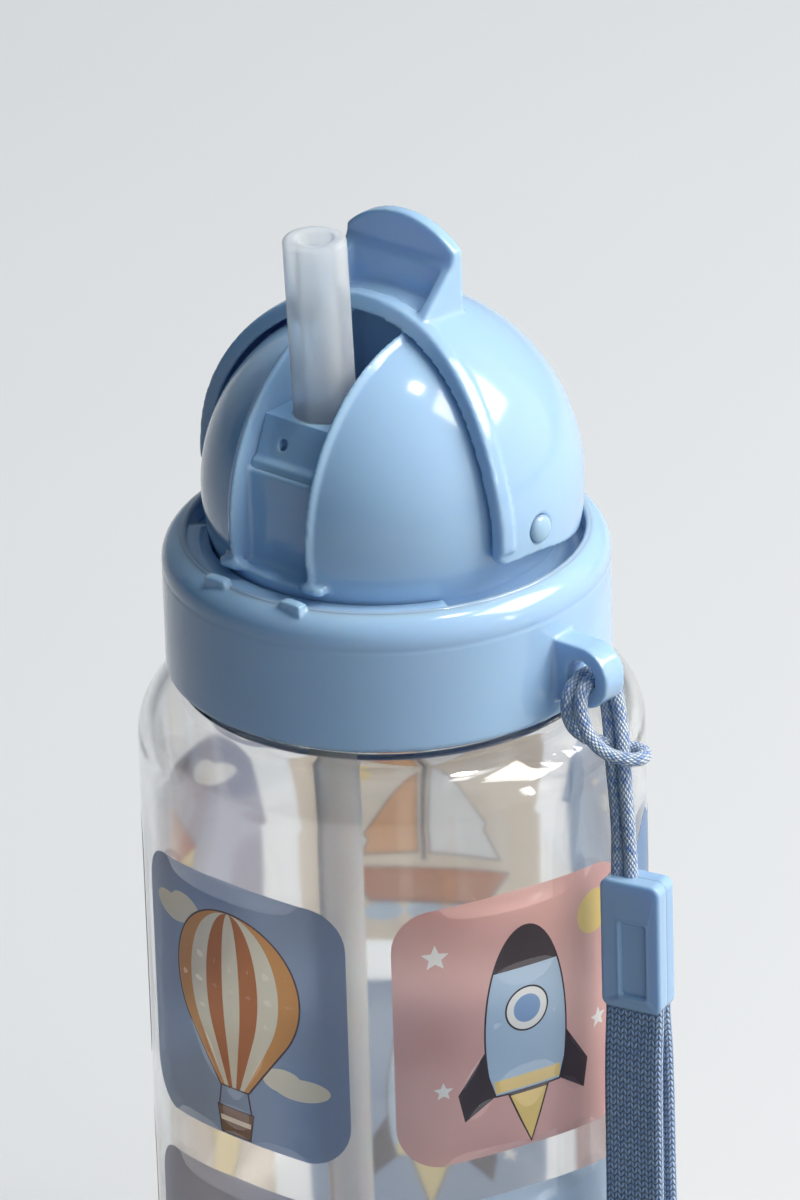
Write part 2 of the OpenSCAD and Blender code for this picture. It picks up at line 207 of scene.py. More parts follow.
# Strap cord: a thin braided polyester cord in blues and white. It is looped through the
# lug's hole and round its own two legs, and both ends go down into the clip.
cord_d = 2.0 * mm
cord_route = [
    (43.6, -0.2, 99), (43.6, -0.2, 101), (43.6, -0.1, 104), (43, 0.3, 110), (42.2, 0.8, 116),
    (41.2, 1.7, 120.6), (39.9, 3, 124.4), (38.8, 3.7, 128), (38, 3.7, 131.2),
    (37.8, 2.4, 132.8), (37.7, 0, 133.2), (37.7, -2.4, 132.8), (37.9, -3.6, 130.8),
    (38.6, -3.9, 128), (39.7, -3.4, 125.4), (41.4, -2.2, 123.4), (43.4, -0.5, 122.4),
    (44.4, 1.6, 122), (43.4, 3.6, 121.8), (41.1, 4, 121.7), (39, 3, 121.9),
    (37.6, 1, 122.8), (36.7, -1.4, 124.4), (36, -3.2, 126.6), (35.7, -3.9, 129.2),
    (35.7, -3.5, 131.4), (35.7, -2.2, 132.8), (35.7, 0, 133.2), (35.7, 2.4, 132.8),
    (35.9, 3.7, 131), (36.6, 3.8, 127.6), (37.7, 3, 124.2), (39, 1.7, 120.4),
    (40.2, 0.8, 116), (41, 0.3, 110), (41.5, -0.5, 104), (41.6, -0.6, 101), (41.6, -0.6, 99)]


def smooth_line(route, cuts):
    """Points of a smooth line, in metres, through a listed route in millimetres."""
    points = [np.array(p, float) for p in route]
    points = [2 * points[0] - points[1]] + points + [2 * points[-1] - points[-2]]
    line = []
    for a, b, c, d in zip(points, points[1:], points[2:], points[3:]):
        for t in np.arange(cuts) / cuts:
            line.append(0.5 * (2 * b + (c - a) * t + (2 * a - 5 * b + 4 * c - d) * t * t
                               + (3 * b - a - 3 * c + d) * t ** 3))
    return np.array(line + [points[-2]]) * mm


def sweep(name, line, section, side):
    """A mesh that carries a closed section, a list of (across, out), along a line. Its map
    holds the distance round the section and the distance along, both in millimetres."""
    line = np.asarray(line)
    count, around = len(line), len(section)
    heading = np.gradient(line, axis=0)
    heading /= np.linalg.norm(heading, axis=1)[:, None]
    edge = np.linalg.norm(np.diff(np.array(section + [section[0]]), axis=0), axis=1)
    round_mm = np.concatenate([[0], np.cumsum(edge)]) / mm
    along_mm = np.concatenate([[0], np.cumsum(np.linalg.norm(np.diff(line, axis=0), axis=1))]) / mm
    verts = []
    side = np.array(side, float)
    for p, h in zip(line, heading):
        side = side - h * side.dot(h)
        side /= np.linalg.norm(side)
        out = np.cross(h, side)
        verts += [tuple(p + side * a + out * b) for a, b in section]
    faces = [(i * around + k, i * around + (k + 1) % around,
              (i + 1) * around + (k + 1) % around, (i + 1) * around + k)
             for i in range(count - 1) for k in range(around)]
    spots = [(round_mm[k + j], along_mm[i + n])
             for i in range(count - 1) for k in range(around)
             for j, n in ((0, 0), (1, 0), (1, 1), (0, 1))]
    faces += [tuple(range(around))[::-1], tuple(range((count - 1) * around, count * around))]
    spots += [(0.0, 0.0)] * (2 * around)
    mesh = bpy.data.meshes.new(name)
    mesh.from_pydata(verts, [], faces)
    layer = mesh.uv_layers.new(name="thread")
    layer.data.foreach_set("uv", np.array(spots).ravel())
    mesh.shade_smooth()
    tidy_normals(mesh)
    return mesh


def tidy_normals(mesh):
    """Turns all the faces outward."""
    edit = bmesh.new()
    edit.from_mesh(mesh)
    bmesh.ops.recalc_face_normals(edit, faces=edit.faces)
    edit.to_mesh(mesh)
    edit.free()


def thread_map(tree):
    """The distance round and along a swept piece, in millimetres."""
    where = tree.nodes.new("ShaderNodeUVMap")
    where.uv_map = "thread"
    parts = add_node(tree, "SeparateXYZ", Vector=where.outputs["UV"])
    return parts.outputs[0], parts.outputs[1]


def ribs(tree, value):
    """Round ribs, one to each whole step of a value."""
    return sum_up(tree, "ABSOLUTE", sum_up(tree, "SINE", sum_up(tree, "MULTIPLY", value, pi)))


def yarn_shades(tree, across, along, deep, pale, start=0.0, end=1.0):
    """A shade of yarn for each whole step of two values."""
    cell = add_node(tree, "CombineXYZ", X=sum_up(tree, "FLOOR", across), Y=sum_up(tree, "FLOOR", along))
    yarn = add_node(tree, "TexWhiteNoise", Vector=cell.outputs[0])
    shade = add_node(tree, "ValToRGB", Fac=yarn.outputs["Value"])
    ends = shade.color_ramp.elements
    ends[0].color, ends[1].color = deep, pale
    ends[0].position, ends[1].position = start, end
    return shade.outputs["Color"]


def paint_valley_shade(tree, shader, colour, height, low, high, dark):
    """A base colour with painted shade: darker, to a share of itself, where the height is low."""
    valley_shade = add_node(tree, "MapRange", Value=height, _1=low, _2=high, _3=dark, _4=1.0)
    shaded_colour = add_node(tree, "Mix")
    shaded_colour.data_type = "RGBA"
    shaded_colour.blend_type = "MULTIPLY"
    shaded_colour.inputs[0].default_value = 1.0
    tree.links.new(colour, shaded_colour.inputs[6])
    tree.links.new(valley_shade.outputs[0], shaded_colour.inputs[7])
    tree.links.new(shaded_colour.outputs[2], shader.inputs["Base Color"])


def braid_material(name, round_cells, cell_mm, girth_mm, deep, pale):
    """Crossing strands, each with its own shade of yarn."""
    material, tree, shader = new_material(name, Roughness=0.62, Sheen_Weight=0.35, Sheen_Roughness=0.4)
    u, v = thread_map(tree)
    turn = sum_up(tree, "MULTIPLY", u, round_cells / girth_mm)
    rise = sum_up(tree, "DIVIDE", v, cell_mm)
    left = sum_up(tree, "ADD", turn, rise)
    lean = sum_up(tree, "SUBTRACT", turn, rise)
    height = sum_up(tree, "MULTIPLY", ribs(tree, left), ribs(tree, lean))
    colour = yarn_shades(tree, left, lean, deep, pale, 0.12, 0.45)
    # Painted shade: the yarn colour is darkened in the valleys between the strands.
    paint_valley_shade(tree, shader, colour, height, 0.0, 0.5, 0.35)
    relief = sum_up(tree, "MULTIPLY_ADD", grain(tree, 9000, 2), 0.25, height)
    raise_surface(tree, shader, relief, 0.9, 0.25 * mm)
    return material


cord_sides = 20
cord_section = [(cord_d / 2 * cos(2 * pi * k / cord_sides),
                 cord_d / 2 * sin(2 * pi * k / cord_sides)) for k in range(cord_sides)]
cord_line = smooth_line(cord_route, 6)
cord_mesh = sweep("strap_cord_braid", cord_line, cord_section, (0, 1, 0))
cord_mesh.materials.append(braid_material(
    "braided_cord", 11, 0.95, pi * cord_d / mm, (0.26, 0.42, 0.80, 1), (0.66, 0.78, 0.96, 1)))
cord = put_in_scene("strap_cord_braid", cord_mesh, "strap", "cord_fabric", "strap_cord")

# Cord bead: the two ends are heated into one bead, so that they can't slip out of the clip.
clip_x, clip_foot_z, clip_turn = 44.4 * mm, 83.6 * mm, radians(12)
clip_place = Matrix.Translation((clip_x, 0, clip_foot_z)) @ Matrix.Rotation(clip_turn, 4, "Z")
bead_mesh = bpy.data.meshes.new("melted_bead")
edit = bmesh.new()
bmesh.ops.create_icosphere(edit, subdivisions=4, radius=2.05 * mm)
for v in edit.verts:
    lump = 1 + 0.05 * sin(3100 * v.co.x + 1) * cos(2700 * v.co.z)
    v.co = Vector((v.co.x, v.co.y * 0.8, v.co.z)) * lump
edit.to_mesh(bead_mesh)
edit.free()
bead_mesh.transform(clip_place @ Matrix.Translation((-1.8 * mm, 0, 13.2 * mm)))
bead_mesh.shade_smooth()
melted, tree, shader = new_material("melted_cord", Roughness=0.35)
mottle(tree, shader, grain(tree, 1500), (0.12, 0.26, 0.6, 1), (0.45, 0.58, 0.85, 1))
bead_mesh.materials.append(melted)
bead = put_in_scene("melted_bead", bead_mesh, "strap", "cord_fabric", "cord_knot")

# Webbing: flat woven polyester tape, folded into one long loop. Its ends lie face to face
# in the clip. Its face shows small V stitches in columns, with a plain edge on each side.
tape_w, tape_t = 9.0 * mm, 1.7 * mm
tape_half = [
    (0.95, 93.5), (0.95, 90), (0.95, 86), (1.1, 82), (1.6, 77), (1.9, 71), (2, 63), (2.1, 54),
    (2.5, 44), (3.4, 34), (4.6, 25), (5.3, 18), (5.1, 12), (3.7, 7.2), (1.6, 4.6), (0, 4.1)]
tape_route = [(0, -y, z) for y, z in tape_half] + [(0, y, z) for y, z in tape_half[-2::-1]]
tape_line = smooth_line(tape_route, 6)
turn = np.array(Matrix.Rotation(clip_turn, 3, "Z"))
tape_line = tape_line @ turn.T + np.array((clip_x, 0, 0))
tape_edge = tape_t * 0.46
tape_section = []
for centre, start in ((tape_w / 2 - tape_edge, -90), (-tape_w / 2 + tape_edge, 90)):
    for k in range(9):
        a = radians(start + 22.5 * k)
        tape_section.append((centre + tape_edge * cos(a), tape_t / 2 * sin(a)))
    if start == -90:
        tape_section += [(x * mm, tape_t / 2) for x in (3, 2, 1, 0, -1, -2, -3)]
    else:
        tape_section += [(x * mm, -tape_t / 2) for x in (-3, -2, -1, 0, 1, 2, 3)]
tape_mesh = sweep("webbing_tape", tape_line, tape_section, tuple(turn @ np.array((1, 0, 0))))

webbing, tree, shader = new_material("woven_webbing", Roughness=0.7, Sheen_Weight=0.4,
                                     Sheen_Roughness=0.5)
columns_per_mm, rows_per_mm, v_depth = 0.92, 1.05, 1.1
u, v = thread_map(tree)
column = sum_up(tree, "FRACT", sum_up(tree, "MULTIPLY", u, columns_per_mm))
slant = sum_up(tree, "ABSOLUTE", sum_up(tree, "SUBTRACT", column, 0.5))
row = sum_up(tree, "ADD", sum_up(tree, "MULTIPLY", v, rows_per_mm),
             sum_up(tree, "MULTIPLY", slant, v_depth))
leg = sum_up(tree, "MULTIPLY", u, 2 * columns_per_mm)
height = sum_up(tree, "MULTIPLY", sum_up(tree, "POWER", ribs(tree, row), 0.6),
                sum_up(tree, "POWER", ribs(tree, leg), 0.35))
colour = yarn_shades(tree, leg, row, (0.27, 0.42, 0.72, 1), (0.44, 0.60, 0.86, 1))
# Painted shade: the yarn colour is darkened in the valleys between the stitches.
paint_valley_shade(tree, shader, colour, height, 0.15, 0.8, 0.22)
relief = sum_up(tree, "MULTIPLY_ADD", grain(tree, 8000, 2), 0.2, height)
raise_surface(tree, shader, relief, 1.0, 0.35 * mm)
tape_mesh.materials.append(webbing)
tape = put_in_scene("webbing_tape", tape_mesh, "strap", "webbing_fabric", "webbing_loop")

# Clip: two halves moulded in glossy blue polypropylene, pressed together over the webbing's
# ends and the bead. The front one has a sunk window with a thin raised border.
clip_w, clip_h, clip_t = 9.4 * mm, 20.4 * mm, 5.0 * mm
clip_corner, clip_edge = 1.4 * mm, 0.55 * mm
window_w, window_h, window_z = 3.7 * mm, 11.4 * mm, 8.1 * mm


def rounded_loop(width, height, radius, depth, centre_z, centre_x=0.0, steps=8):
    """A rectangle with round corners, standing in the XZ plane at y = depth."""
    loop = []
    for corner, (sx, sz) in enumerate(((1, -1), (1, 1), (-1, 1), (-1, -1))):
        for k in range(steps + 1):
            a = radians(-90 + 90 * corner + 90 * k / steps)
            loop.append((centre_x + sx * (width / 2 - radius) + radius * cos(a), depth,
                         centre_z + sz * (height / 2 - radius) + radius * sin(a)))
    return loop


def stack_loops(name, loops):
    """A closed mesh through loops that all have the same number of points."""
    n = len(loops[0])
    faces = [(i * n + k, i * n + (k + 1) % n, (i + 1) * n + (k + 1) % n, (i + 1) * n + k)
             for i in range(len(loops) - 1) for k in range(n)]
    faces += [tuple(range(n))[::-1], tuple(range((len(loops) - 1) * n, len(loops) * n))]
    mesh = bpy.data.meshes.new(name)
    mesh.from_pydata([p for loop in loops for p in loop], [], faces)
    tidy_normals(mesh)
    return mesh


def clip_half(name, node, side, window):
    """One half of the clip, on the side of the join that side gives."""
    mid = clip_h / 2
    outer = side * clip_t / 2
    loops = [rounded_loop(clip_w - 0.3 * mm, clip_h - 0.3 * mm, clip_corner, side * 0.02 * mm, mid),
             rounded_loop(clip_w, clip_h, clip_corner, side * 0.15 * mm, mid)]
    for k in range(6):
        a = pi / 2 * k / 5
        inset = clip_edge * (1 - cos(a))
        loops.append(rounded_loop(clip_w - 2 * inset, clip_h - 2 * inset, clip_corner - inset,
                                  outer - side * clip_edge * (1 - sin(a)), mid))
    if window:
        for grow, rise in ((1.5, 0), (1.3, 0.12), (0.7, 0.12), (0.3, 0.0), (0.2, -0.3), (0, -0.6)):
            loops.append(rounded_loop(window_w + grow * mm, window_h + grow * mm, 0.6 * mm,
                                      outer + side * rise * mm, window_z, 0.4 * mm))
    else:
        loops.append(rounded_loop(clip_w / 2, clip_h / 2, clip_corner, outer, mid))
    mesh = stack_loops(name, loops)
    mesh.transform(clip_place)
    mesh.shade_smooth()
    mesh.materials.append(clip_blue)
    piece = put_in_scene(name, mesh, "strap", "clip_blue", node)
    edges = piece.modifiers.new("face_shading", "WEIGHTED_NORMAL")
    edges.keep_sharp = True
    return piece


def moulded_blue(name, deep, pale, roughness=0.16):
    """Glossy polypropylene that lets a little light in: paler where it is thin."""
    material, tree, shader = new_material(
        name, Roughness=roughness, IOR=1.49, Subsurface_Weight=0.35,
        Subsurface_Radius=(0.35, 0.6, 1.0), Subsurface_Scale=3.0 * mm,
        Coat_Weight=0.25, Coat_Roughness=0.05, Transmission_Weight=0.12)
    mottle(tree, shader, grain(tree, 45, 3), deep, pale)
    vary(tree, shader, "Roughness", grain(tree, 160, 4), roughness - 0.03, roughness + 0.06)
    raise_surface(tree, shader, grain(tree, 90, 2), 0.12, 0.03 * mm)
    return material


clip_blue = moulded_blue("clip_blue", (0.33, 0.53, 0.82, 1), (0.38, 0.58, 0.85, 1))
clip_front = clip_half("clip_front_half", "clip_front", -1, True)
clip_back = clip_half("clip_back_half", "clip_back", 1, False)

# Bottle body: one clear blow-moulded shell with a round shoulder, a ring under the lid and
# a single screw thread on its neck. Its foot is sunk a little, all round the middle.
body_r, body_wall, foot_r, shoulder_r = 36.5 * mm, 2.0 * mm, 6.0 * mm, 9.0 * mm
side_h, neck_r, neck_bore_r = 115 * mm, 27.6 * mm, 25.4 * mm
neck_foot_z, neck_top_z = 124 * mm, 139.6 * mm
thread_start_z, thread_lead, thread_turns, thread_depth = 128.9 * mm, 6 * mm, 1.33, 1.55 * mm


def arc(centre_r, centre_z, radius, start, end, steps):
    """Points of a round stretch of a turned profile, with angles in degrees from outward."""
    return [(centre_r + radius * cos(radians(a)), centre_z + radius * sin(radians(a)))
            for a in np.linspace(start, end, steps)]


def revolve(name, profile, segments=192, centre=(0, 0), ridge=None, closed=True):
    """A turned mesh from a profile of (radius, height). A closed profile makes a ring."""
    n = len(profile)
    verts = []
    for s in range(segments):
        a = 2 * pi * s / segments
        for r, z in profile:
            grow = ridge(a, r, z) if ridge else 0.0
            verts.append((centre[0] + (r + grow) * cos(a), centre[1] + (r + grow) * sin(a), z))
    steps = n if closed else n - 1
    faces = [(s * n + k, ((s + 1) % segments) * n + k, ((s + 1) % segments) * n + (k + 1) % n,
              s * n + (k + 1) % n) for s in range(segments) for k in range(steps)]
    mesh = bpy.data.meshes.new(name)
    mesh.from_pydata(verts, [], faces)
    edit = bmesh.new()
    edit.from_mesh(mesh)
    same_spot = 1e-7
    bmesh.ops.remove_doubles(edit, verts=edit.verts, dist=same_spot)
    bmesh.ops.recalc_face_normals(edit, faces=edit.faces)
    edit.to_mesh(mesh)
    edit.free()
    mesh.shade_smooth()
    return mesh


def thread_ridge(a, r, z):
    """How far the thread stands out of the neck at this place."""
    if abs(r - neck_r) >= 0.05 * mm:
        return 0.0
    best = 0.0
    for lap in range(2):
        turns = a / (2 * pi) + lap
        if turns <= thread_turns:
            ends = min(1.0, turns / 0.06, (thread_turns - turns) / 0.06)
            off = abs(z - thread_start_z - thread_lead * turns)
            best = max(best, thread_depth * ends * min(1.0, max(0.0, (1.15 * mm - off) / (0.5 * mm))))
    return best


body_profile = [(0, 0), (19.6 * mm, 0), (20.2 * mm, 0.7 * mm), (27.8 * mm, 0.7 * mm), (28.4 * mm, 0)]
body_profile += arc(body_r - foot_r, foot_r, foot_r, -84, 0, 14)
body_profile += [(body_r, z * mm) for z in (20, 40, 60, 80, 100)]
body_profile += arc(body_r - shoulder_r, side_h, shoulder_r, 0, 86, 22)
body_profile += [(28.4 * mm, 124.1 * mm), (30.2 * mm, 124.2 * mm), (30.4 * mm, 124.45 * mm),
                 (30.2 * mm, 124.7 * mm), (neck_r + 0.4 * mm, 124.8 * mm)]
body_profile += [(neck_r, z * mm) for z in np.arange(125.4, 139.3, 0.3)]
body_profile += arc(neck_r - 0.5 * mm, neck_top_z - 0.5 * mm, 0.5 * mm, 20, 90, 4)
body_profile += arc(neck_bore_r + 0.5 * mm, neck_top_z - 0.5 * mm, 0.5 * mm, 90, 180, 4)
body_profile += [(neck_bore_r, 133 * mm), (neck_bore_r, 126 * mm),
                 (neck_bore_r + 0.2 * mm, 123.2 * mm)]
body_profile += arc(body_r - shoulder_r, side_h, shoulder_r - body_wall, 80, 0, 20)
body_profile += [(body_r - body_wall, z * mm) for z in (100, 80, 60, 40, 20)]
body_profile += arc(body_r - foot_r, 2.6 * mm + foot_r - 1.4 * mm, foot_r - body_wall, 0, -84, 12)
body_profile += [(26 * mm, 3.0 * mm), (14 * mm, 2.8 * mm), (0, 2.7 * mm)]
body_mesh = revolve("clear_bottle", body_profile, 256, ridge=thread_ridge, closed=False)

clear_plastic, tree, shader = new_material(
    "clear_plastic", Roughness=0.08, IOR=1.36, Transmission_Weight=1.0, Specular_IOR_Level=0.5,
    Coat_Weight=1.0, Coat_Roughness=0.02)
mottle(tree, shader, grain(tree, 25, 2), (0.985, 0.985, 0.98, 1), (1.0, 0.998, 0.995, 1))
vary(tree, shader, "Roughness", grain(tree, 300, 3), 0.06, 0.1)
raise_surface(tree, shader, grain(tree, 34, 2), 0.35, 0.7 * mm)
body_mesh.materials.append(clear_plastic)
bottle = put_in_scene("clear_bottle", body_mesh, "bottle", "clear_shell", "bottle_body")
bottle.visible_shadow = False

# Printed panels: screen-printed ink on the outside of the body, five columns of two. Each
# is a rounded card of flat colour with one plain picture on it, outlined in dark ink.
panel_w, panel_h, panel_corner = 39.4, 41.2, 6.5
panel_rows = (62.2, 14.2)
first_azimuth, column_pitch = -2.5, 72
ink_gap = 0.03 * mm
ink_colours = {
    "dusty_blue": (118, 140, 178), "rose": (222, 168, 163), "mauve": (150, 150, 172),
    "sky": (168, 196, 224), "sand": (226, 205, 178), "cream": (240, 226, 196),
    "orange": (214, 128, 62), "rust": (176, 84, 44), "brown": (92, 58, 42), "ink": (46, 38, 44),
    "white": (244, 243, 240), "yellow": (238, 206, 120), "steel": (122, 158, 206)}


def to_linear(colour):
    """A colour of 0 to 255 as the shader's own numbers."""
    return tuple((c / 255) ** 2.2 for c in colour) + (1.0,)


ink_index = {}
ink_materials = []
for ink_name, colour in ink_colours.items():
    ink, tree, shader = new_material("ink_" + ink_name, Roughness=0.6, IOR=1.1,
                                     Transmission_Weight=0.5, Coat_Weight=0.4, Coat_Roughness=0.08)
    base = to_linear(colour)
    low = tuple(c * 0.93 for c in base[:3]) + (1.0,)
    speckle = sum_up(tree, "MULTIPLY_ADD", grain(tree, 5200, 1), 0.5,
                     sum_up(tree, "MULTIPLY", grain(tree, 120, 3), 0.5))
    mottle(tree, shader, speckle, low, base)
    raise_surface(tree, shader, grain(tree, 5200, 1), 0.08, 0.02 * mm)
    ink_index[ink_name] = len(ink_materials)
    ink_materials.append(ink)


def ellipse(x, y, rx, ry, start=0, end=360, steps=40, lean=0):
    """Points round an ellipse, or along a part of one, in millimetres on a card."""
    points = []
    whole = end - start == 360
    for k in range(steps + (0 if whole else 1)):
        a = radians(start + (end - start) * k / steps)
        px, py = rx * cos(a), ry * sin(a)
        points.append((x + px * cos(radians(lean)) - py * sin(radians(lean)),
                       y + px * sin(radians(lean)) + py * cos(radians(lean))))
    return points


def card_outline(w, h, r):
    """A card with round corners."""
    points = []
    for corner, (sx, sy) in enumerate(((1, -1), (1, 1), (-1, 1), (-1, -1))):
        points += ellipse(sx * (w / 2 - r), sy * (h / 2 - r), r, r,
                          -90 + 90 * corner, 90 * corner, 8)
    return points


def star(x, y, r):
    """A star with five points."""
    return [(x + (r if k % 2 == 0 else 0.45 * r) * sin(pi * k / 5),
             y + (r if k % 2 == 0 else 0.45 * r) * cos(pi * k / 5)) for k in range(10)]


def grown(points, by):
    """The outline pushed outward by a distance, for the dark line round a shape."""
    ring = [Vector(p) for p in points]
    area = sum(a.x * b.y - b.x * a.y for a, b in zip(ring, ring[1:] + ring[:1]))
    sign = 1 if area > 0 else -1
    out = []
    for before, here, after in zip(ring[-1:] + ring[:-1], ring, ring[1:] + ring[:1]):
        a, b = (here - before).normalized(), (after - here).normalized()
        normal = Vector((a.y + b.y, -a.x - b.x)) * sign
        if normal.length < 1e-6:
            normal = Vector((a.y, -a.x)) * sign
        normal.normalize()
        stretch = min(1.8, 1 / max(0.2, abs(normal.dot(Vector((a.y, -a.x)) * sign))))
        out.append(tuple(here + normal * by * stretch))
    return out


def outlined(colour, points, line=0.28):
    """A shape with its dark outline under it."""
    return [("ink", grown(points, line)), (colour, points)]


def balloon_card():
    shapes = [("cream", ellipse(-12, 13, 4.6, 2)), ("cream", ellipse(-8.5, 14.2, 3.6, 2.2))]
    shapes += [("cream", ellipse(12.5, -9, 4.4, 1.8)), ("cream", ellipse(9.4, -8, 3.2, 1.9))]
    lobe = ellipse(1, 4.5, 11.5, 12, -38, 218, 50) + [(-1.6, -11.5), (3.6, -11.5)]
    shapes += outlined("orange", lobe)
    for share, colour in ((0.72, "cream"), (0.42, "rust"), (0.14, "cream")):
        shapes.append((colour, [(1 + (x - 1) * share, y) for x, y in lobe]))
    shapes += outlined("brown", [(-2.2, -15.2), (4.2, -15.2), (3.6, -19.2), (-1.6, -19.2)])
    for x0, x1 in ((-1.5, -2.1), (3.5, 4.1)):
        shapes.append(("ink", [(x0 - 0.15, -11.5), (x0 + 0.15, -11.5), (x1 + 0.15, -15.2),
                               (x1 - 0.15, -15.2)]))
    shapes.append(("sand", [(-1.9, -16.6), (3.9, -16.6), (3.8, -17.4), (-1.8, -17.4)]))
    return shapes


def rocket_card():
    shapes = [("white", star(-13.5, 13, 2.1)), ("white", star(13.6, -4, 1.7)),
              ("white", star(-12.8, -8.5, 1.5)), ("yellow", ellipse(13, 13.4, 3.4, 3.4))]
    shapes += outlined("yellow", [(-2.8, -11), (3.2, -11), (1.8, -15), (0.4, -18.8), (-1.2, -15)])
    shapes += outlined("ink", [(-5.6, -2), (-10.4, -9.5), (-9.6, -13.4), (-4.8, -10)])
    shapes += outlined("ink", [(6, -2), (10.8, -9.5), (10, -13.4), (5.2, -10)])
    hull = [(-5, -10.5), (5.4, -10.5)] + ellipse(0.2, -1.5, 6.6, 17, -20, 200, 40)
    shapes += outlined("sky", hull)
    shapes.append(("ink", ellipse(0.2, -1.5, 6.6, 17, 38, 142, 24)))
    shapes.append(("yellow", [(-5.3, -8.2), (5.7, -8.2), (5.5, -10.2), (-5.1, -10.2)]))
    shapes += outlined("white", ellipse(0.2, 2.4, 3.3, 3.3))
    shapes.append(("steel", ellipse(0.2, 2.4, 2.2, 2.2)))
    return shapes


def moon_card():
    outer = ellipse(-1, 1, 12, 12, 60, 300, 40)
    inner = ellipse(4.2, 1, 10.4, 10.4, 285, 75, 40)
    shapes = outlined("yellow", outer + inner)
    for x, y, r in ((9, 11, 2.6), (12.5, -3, 2), (4, -2, 2.8), (-13, -14, 1.8), (11, -14, 1.6)):
        shapes += outlined("white", star(x, y, r), 0.2)
    return shapes


def boat_card():
    shapes = [("yellow", ellipse(11.5, 12, 4, 4))]
    shapes += outlined("white", [(-1, -6.5), (-1, 15), (-12, -6.5)])
    shapes += outlined("orange", [(1, -6.5), (1, 12), (9.5, -6.5)])
    shapes.append(("ink", [(-0.35, -8), (0.35, -8), (0.35, 16), (-0.35, 16)]))
    shapes += outlined("rust", [(-13.5, -8.5), (12.5, -8.5), (8.5, -14.5), (-9.5, -14.5)])
    for x in (-13, -6.5, 0, 6.5, 13):
        shapes.append(("sky", ellipse(x, -16.4, 3.1, 1.5)))
    return shapes


def kite_card():
    shapes = [("white", ellipse(-11, 13, 5, 2.1)), ("white", ellipse(-7.6, 14.4, 3.6, 2.3))]
    shapes += outlined("rust", [(4, 15), (12.5, 4), (4, -7), (-4.5, 4)])
    shapes.append(("orange", [(4, 15), (12.5, 4), (4, 4)]))
    shapes.append(("yellow", [(4, -7), (-4.5, 4), (4, 4)]))
    tail = [(4 - 1.2 * k + 1.6 * sin(k * 0.9), -7 - 1.1 * k) for k in range(11)]
    shapes.append(("ink", [(x - 0.2, y) for x, y in tail] + [(x + 0.2, y) for x, y in tail[::-1]]))
    for k, colour in ((3, "yellow"), (6, "orange"), (9, "white")):
        x, y = tail[k]
        shapes += outlined(colour, star(x, y, 2.2), 0.2)
    return shapes


def covers(outline, spots):
    """Which spots lie inside a closed outline."""
    inside = np.zeros(len(spots), bool)
    for (ax, ay), (bx, by) in zip(outline, outline[1:] + outline[:1]):
        if ay != by:
            level_with = (ay > spots[:, 1]) != (by > spots[:, 1])
            edge_x = ax + (bx - ax) * (spots[:, 1] - ay) / (by - ay)
            inside ^= level_with & (spots[:, 0] < edge_x)
    return inside


def wrapped(name, azimuth, middle_z, card_colour, shapes):
    """One card as a single thin sheet on the body, cut along the outlines of its picture.
    Each bit of it takes the ink of the last shape that covers it."""
    layers = [(card_colour, card_outline(panel_w, panel_h, panel_corner))] + shapes
    points, edges = [], []
    for _, outline in layers:
        first, count = len(points), len(outline)
        edges += [(first + k, first + (k + 1) % count) for k in range(count)]
        points += [Vector(p) for p in outline]
    across, upward = np.arange(-18.9, 19, 1.35), np.arange(-18.5, 19, 4.1)
    points += [Vector((x, y)) for x in across for y in upward]
    flat, _, cells, _, _, _ = delaunay_2d_cdt(points, edges, [], 1, 1e-4)
    centres = np.array([[sum(flat[i][axis] for i in cell) / len(cell) for axis in (0, 1)]
                        for cell in cells])
    owners = np.zeros(len(cells), int)
    for colour, outline in layers:
        owners[covers(outline, centres)] = ink_index[colour]
    verts = []
    for p in flat:
        a = radians(azimuth) + p.x * mm / body_r
        verts.append(((body_r + ink_gap) * sin(a), -(body_r + ink_gap) * cos(a),
                      (middle_z + p.y) * mm))
    mesh = bpy.data.meshes.new(name)
    mesh.from_pydata(verts, [], cells)
    for ink in ink_materials:
        mesh.materials.append(ink)
    mesh.polygons.foreach_set("material_index", owners)
    tidy_normals(mesh)
    mesh.shade_smooth()
    return mesh


cards = ((balloon_card, "dusty_blue"), (rocket_card, "rose"), (moon_card, "steel"),
         (boat_card, "sand"), (kite_card, "mauve"))
lower_row_colours = ("mauve", "sky", "rose", "dusty_blue", "sand")
for row, foot_z in enumerate(panel_rows):
    for column in range(5):
        draw, colour = cards[(column + 3 * row) % 5]
        if row == 1:
            colour = lower_row_colours[column]
        azimuth = first_azimuth + column_pitch * column
        print_mesh = wrapped("printed_card_%d_%d" % (row + 1, column + 1), azimuth,
                             foot_z + panel_h / 2, colour, draw())
        put_in_scene(print_mesh.name, print_mesh, "bottle", "clear_shell")

# Lid gasket: a flat white silicone ring that sits on the neck's rim, under the lid's floor.
gasket_corners = ((28.2, 141.0, 0), (24.8, 141.0, 90), (24.8, 139.8, 180), (28.2, 139.8, 270))
gasket_profile = []
for r, z, start in gasket_corners:
    gasket_profile += arc(r * mm, z * mm, 0.2 * mm, start, start + 90, 4)
gasket_mesh = revolve("silicone_gasket", gasket_profile, 128)
silicone, tree, shader = new_material("white_silicone", Roughness=0.45, Subsurface_Weight=0.3,
                                      Subsurface_Scale=2 * mm)
mottle(tree, shader, grain(tree, 400), (0.80, 0.81, 0.80, 1), (0.88, 0.88, 0.86, 1))
raise_surface(tree, shader, grain(tree, 3000), 0.2, 0.02 * mm)
gasket_mesh.materials.append(silicone)
put_in_scene("silicone_gasket", gasket_mesh, "seal", "seal", "lid_gasket")

# Screw collar: injection-moulded polypropylene with a round top edge. The strap lug grows
# out of its side. A thin bead and two small nubs stand on its rim, and a shelf closes the
# gap to the dome in front.
pivot = Vector((0, 0, 153.8 * mm))


def unit_rows(rows):
    """Each row, scaled to a length of one."""
    return rows / (np.linalg.norm(rows, axis=1)[:, None] + 1e-12)


